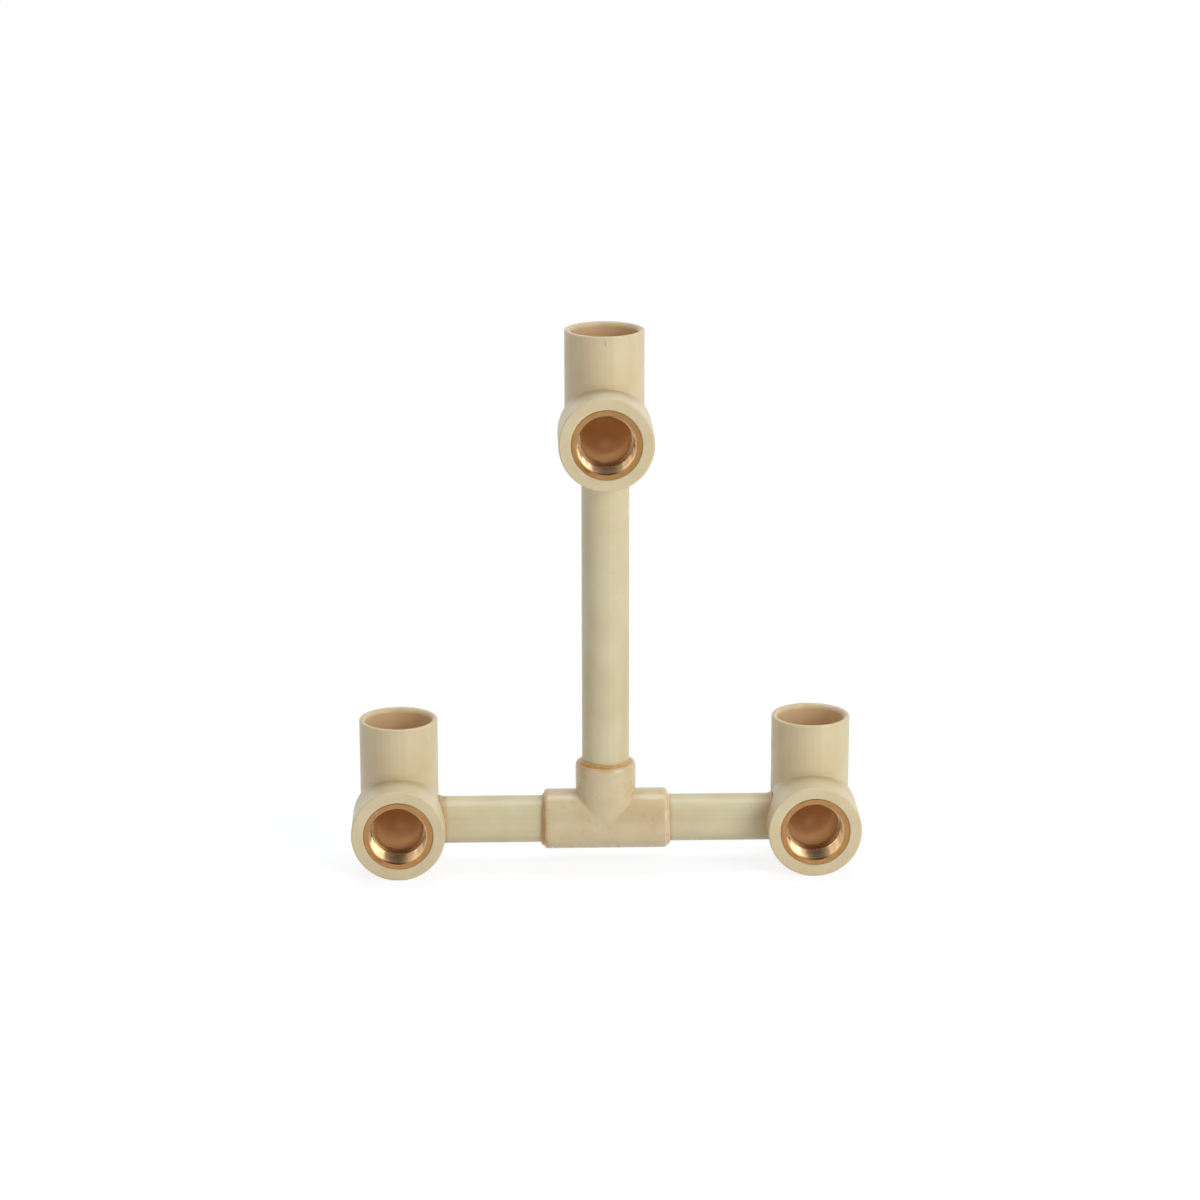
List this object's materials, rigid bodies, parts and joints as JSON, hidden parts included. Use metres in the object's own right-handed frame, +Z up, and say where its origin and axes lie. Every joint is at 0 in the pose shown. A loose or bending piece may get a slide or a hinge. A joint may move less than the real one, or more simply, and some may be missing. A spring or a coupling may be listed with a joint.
{
  "type": "cpvc mixer adapter",
  "caption": "CPVC adapter for a concealed wall mixer: hot and cold inlet elbows and an upper outlet elbow with brass female threads, held at their centres by a tee and spacer pipes.",
  "frame": {"origin": "under the middle of the part, on the surface that the two inlet collars stand on", "axes": "+Z up along the riser pipe and the solvent sockets; +X to the right seen from the room, from one inlet to the other; +Y away from the room, into the wall; the brass threads face -Y"},
  "size_m": [0.1714, 0.0392, 0.183],
  "materials": {
    "cpvc_fitting": "satin moulded CPVC, cream to light tan",
    "cpvc_pipe": "satin extruded CPVC, cream to light tan",
    "brass": "turned brass, bright in the bore and warm brown on the rim",
    "cement": "dried orange solvent cement, translucent and uneven"
  },
  "bodies": {
    "root": {"elbow_left": "cpvc_fitting", "elbow_right": "cpvc_fitting", "elbow_upper": "cpvc_fitting", "insert_left": "brass", "insert_right": "brass", "insert_upper": "brass", "tee": "cpvc_fitting", "spacer_pipe_left": "cpvc_pipe", "spacer_pipe_right": "cpvc_pipe", "riser_pipe": "cpvc_pipe", "cement_elbow_left": "cement", "cement_elbow_right": "cement", "cement_elbow_upper": "cement", "cement_tee_left": "cement", "cement_tee_right": "cement", "cement_tee_top": "cement"}
  },
  "joints": []
}
